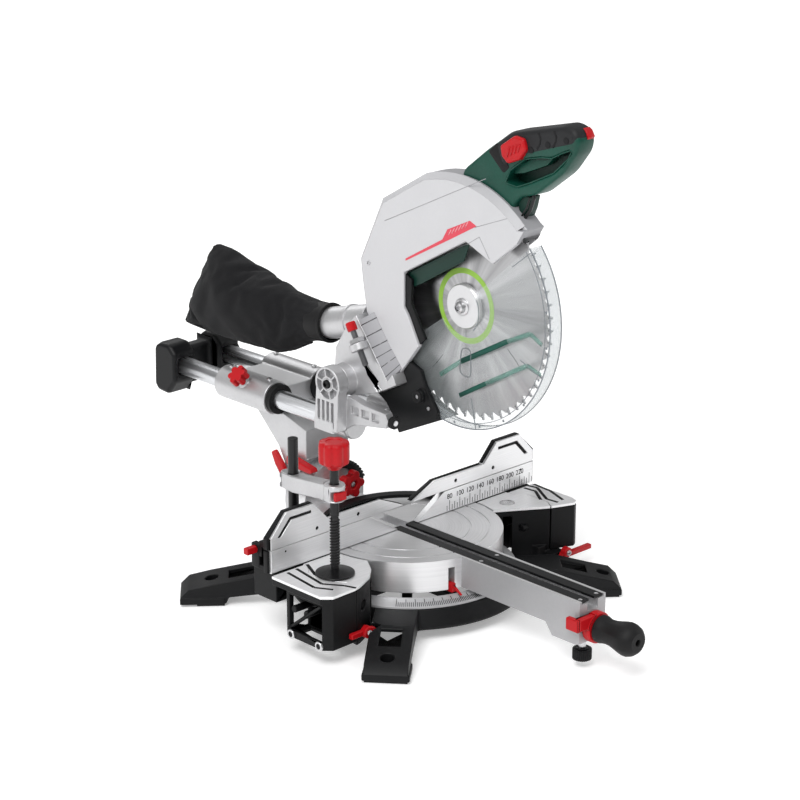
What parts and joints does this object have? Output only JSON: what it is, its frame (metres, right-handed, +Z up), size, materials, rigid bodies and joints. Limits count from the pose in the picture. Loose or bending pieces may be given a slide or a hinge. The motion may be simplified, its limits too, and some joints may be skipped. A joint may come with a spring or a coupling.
{
  "type": "sliding compound mitre saw",
  "caption": "Cordless sliding compound mitre saw on a black cast base: turntable, sliding fences, bench extensions, work clamp, twin slide rails, hooded blade, D-handle and dust bag",
  "frame": {"origin": "on the bench under the turntable's axis, at the middle of the bench bolt pattern", "axes": "+X operator's right, +Y away from the operator, +Z up; the blade lies in x = 0 and the fence faces in y = 0"},
  "size_m": [0.526, 0.892, 0.708],
  "materials": {
    "black_casting": "fine textured black powder coat",
    "machined_aluminium": "machined aluminium",
    "cast_aluminium": "shot-blasted cast aluminium",
    "bright_rail": "ground steel rail",
    "blade_steel": "ground steel plate with radial brushing",
    "black_steel": "black oxide steel",
    "black_plastic": "fine-grain black plastic",
    "black_rubber": "soft black rubber",
    "red_plastic": "satin red plastic",
    "guard_grey": "light silver-grey moulded cover",
    "green_plastic": "dark green moulded plastic",
    "clear_plastic": "clear polycarbonate",
    "bag_fabric": "tight black woven fabric"
  },
  "bodies": {
    "base": {"base_casting": "black_casting", "foot_pads": "black_rubber", "mitre_scale": "machined_aluminium", "wing_left": "machined_aluminium", "wing_right": "machined_aluminium", "fence_bridge": "black_casting", "lower_fence_left": "machined_aluminium", "lower_fence_right": "machined_aluminium", "clamp_post": "black_steel"},
    "left_fence": {"upper_fence_left": "machined_aluminium"},
    "right_fence": {"upper_fence_right": "machined_aluminium"},
    "left_fence_lever": {"fence_lever_left": "red_plastic"},
    "right_fence_lever": {"fence_lever_right": "red_plastic"},
    "left_extension": {"extension_left": "machined_aluminium", "extension_frame_left": "black_casting"},
    "right_extension": {"extension_right": "machined_aluminium", "extension_frame_right": "black_casting"},
    "left_extension_lever": {"extension_lever_left": "red_plastic"},
    "right_extension_lever": {"extension_lever_right": "red_plastic"},
    "clamp_carrier": {"clamp_arm": "cast_aluminium"},
    "clamp_button": {"clamp_release": "red_plastic"},
    "clamp_spindle": {"clamp_screw": "black_steel", "clamp_pad": "black_steel"},
    "clamp_handwheel": {"clamp_knob": "red_plastic"},
    "table": {"turntable": "machined_aluminium", "kerf_inserts": "black_plastic", "insert_screws": "bright_rail", "mitre_pointer": "red_plastic", "bevel_pin": "bright_rail"},
    "grip": {"mitre_grip": "black_plastic"},
    "detent": {"detent_lever": "red_plastic"},
    "front_foot": {"foot_stem": "bright_rail"},
    "front_foot_knob": {"foot_knob": "black_plastic"},
    "column": {"tilt_column": "cast_aluminium", "rail_bushes": "black_plastic"},
    "rail_lock": {"rail_lock_knob": "red_plastic"},
    "bevel_lock": {"bevel_lock_lever": "red_plastic"},
    "bevel_stop": {"bevel_stop_lever": "red_plastic"},
    "bevel_selector": {"bevel_dial": "red_plastic"},
    "carriage": {"slide_rails": "bright_rail", "rear_cap": "black_plastic", "pivot_bracket": "cast_aluminium", "pivot_pin": "bright_rail", "stop_bumper": "black_rubber"},
    "head": {"head_arm": "cast_aluminium", "upper_guard": "guard_grey", "guard_plate": "black_plastic", "gear_case": "black_plastic", "motor_housing": "green_plastic", "battery_pack": "black_plastic", "chip_chute": "black_plastic", "dust_port": "cast_aluminium", "dust_bag": "bag_fabric", "handle": "green_plastic", "handle_grip": "black_rubber"},
    "trigger_switch": {"trigger": "black_plastic"},
    "lock_off": {"lock_off_lever": "red_plastic"},
    "stop_screw": {"depth_stop": "bright_rail"},
    "blade": {"saw_blade": "blade_steel"},
    "guard": {"lower_guard": "clear_plastic"}
  },
  "joints": [
    {"name": "left_fence_slide", "type": "slide", "parent": "base", "child": "left_fence", "axis": [-1, 0, 0], "range_m": [0, 0.08]},
    {"name": "right_fence_slide", "type": "slide", "parent": "base", "child": "right_fence", "axis": [1, 0, 0], "range_m": [0, 0.08]},
    {"name": "left_fence_lever_turn", "type": "hinge", "parent": "base", "child": "left_fence_lever", "pos_m": [-0.247, 0.0325, 0.127], "axis": [1, 0, 0], "range_deg": [0, 90]},
    {"name": "right_fence_lever_turn", "type": "hinge", "parent": "base", "child": "right_fence_lever", "pos_m": [0.247, 0.0325, 0.127], "axis": [1, 0, 0], "range_deg": [0, 90]},
    {"name": "left_extension_slide", "type": "slide", "parent": "base", "child": "left_extension", "axis": [-1, 0, 0], "range_m": [0, 0.08]},
    {"name": "right_extension_slide", "type": "slide", "parent": "base", "child": "right_extension", "axis": [1, 0, 0], "range_m": [0, 0.08]},
    {"name": "left_extension_lever_turn", "type": "hinge", "parent": "base", "child": "left_extension_lever", "pos_m": [-0.176, -0.1145, 0.034], "axis": [0, 1, 0], "range_deg": [0, 20]},
    {"name": "right_extension_lever_turn", "type": "hinge", "parent": "base", "child": "right_extension_lever", "pos_m": [0.206, -0.101, 0.028], "axis": [0, 1, 0], "range_deg": [0, 20]},
    {"name": "clamp_height", "type": "slide", "parent": "base", "child": "clamp_carrier", "axis": [0, 0, 1], "range_m": [0, 0.045]},
    {"name": "clamp_button_press", "type": "slide", "parent": "clamp_carrier", "child": "clamp_button", "axis": [0.1357, 0.9907, 0], "range_m": [0, 0.003], "stiffness_N_per_m": 300},
    {"name": "clamp_feed", "type": "slide", "parent": "clamp_carrier", "child": "clamp_spindle", "axis": [0, 0, 1], "range_m": [0, 0.02]},
    {"name": "clamp_knob_turn", "type": "hinge", "parent": "clamp_spindle", "child": "clamp_handwheel", "pos_m": [-0.18503, -0.05511, 0.27], "axis": [0, 0, 1], "range_deg": [0, 1798]},
    {"name": "mitre_turn", "type": "hinge", "parent": "base", "child": "table", "pos_m": [0, 0, 0.1], "axis": [0, 0, 1], "range_deg": [-45, 45]},
    {"name": "grip_turn", "type": "hinge", "parent": "table", "child": "grip", "pos_m": [0, -0.38, 0.062], "axis": [0, 1, 0], "continuous": true},
    {"name": "detent_press", "type": "hinge", "parent": "table", "child": "detent", "pos_m": [0, -0.353, 0.062], "axis": [0, 1, 0], "range_deg": [-12, 0]},
    {"name": "foot_feed", "type": "slide", "parent": "table", "child": "front_foot", "axis": [0, 0, 1], "range_m": [-0.008, 0.004]},
    {"name": "foot_knob_turn", "type": "hinge", "parent": "front_foot", "child": "front_foot_knob", "pos_m": [0, -0.324, 0.0185], "axis": [0, 0, 1], "range_deg": [-1800, 900]},
    {"name": "bevel_tilt", "type": "hinge", "parent": "table", "child": "column", "pos_m": [0, 0.2, 0.1], "axis": [0, 1, 0], "range_deg": [-22.5, 2]},
    {"name": "rail_lock_turn", "type": "hinge", "parent": "column", "child": "rail_lock", "pos_m": [-0.042, 0.272, 0.2408], "axis": [-0.7071, 0, 0.7071], "continuous": true},
    {"name": "bevel_lock_turn", "type": "hinge", "parent": "column", "child": "bevel_lock", "pos_m": [-0.0445, 0.2, 0.128], "axis": [1, 0, 0], "range_deg": [0, 30]},
    {"name": "bevel_stop_turn", "type": "hinge", "parent": "column", "child": "bevel_stop", "pos_m": [-0.0475, 0.182, 0.16], "axis": [1, 0, 0], "range_deg": [-25, 0]},
    {"name": "bevel_selector_turn", "type": "hinge", "parent": "table", "child": "bevel_selector", "pos_m": [0.016, 0.13, 0.122], "axis": [0, 1, 0], "range_deg": [-72, 72]},
    {"name": "rail_slide", "type": "slide", "parent": "column", "child": "carriage", "axis": [0, -1, 0], "range_m": [-0.085, 0.085]},
    {"name": "head_chop", "type": "hinge", "parent": "carriage", "child": "head", "pos_m": [0, 0.075, 0.305], "axis": [1, 0, 0], "range_deg": [0, 51], "stiffness_Nm_per_rad": 12, "springref_deg": -91.67},
    {"name": "trigger_pull", "type": "hinge", "parent": "head", "child": "trigger_switch", "pos_m": [0, -0.235, 0.662], "axis": [1, 0, 0], "range_deg": [0, 4], "stiffness_Nm_per_rad": 1.5},
    {"name": "lock_off_press", "type": "hinge", "parent": "head", "child": "lock_off", "pos_m": [0, -0.205, 0.665], "axis": [1, 0, 0], "range_deg": [0, 3], "stiffness_Nm_per_rad": 1.5},
    {"name": "stop_screw_turn", "type": "hinge", "parent": "head", "child": "stop_screw", "pos_m": [-0.055, 0.034, 0.355], "axis": [0, 0.5, 0.866], "continuous": true},
    {"name": "blade_spin", "type": "hinge", "parent": "head", "child": "blade", "pos_m": [0, -0.109, 0.4385], "axis": [1, 0, 0], "continuous": true},
    {"name": "guard_turn", "type": "hinge", "parent": "head", "child": "guard", "pos_m": [0, -0.109, 0.4385], "axis": [1, 0, 0], "range_deg": [-150, 0]}
  ],
  "couplings": [
    {"joint": "clamp_feed", "follows": "clamp_knob_turn", "m_per_rad": 0.000637},
    {"joint": "foot_feed", "follows": "foot_knob_turn", "m_per_rad": 0.000239},
    {"joint": "guard_turn", "follows": "head_chop", "ratio": -2.9}
  ]
}
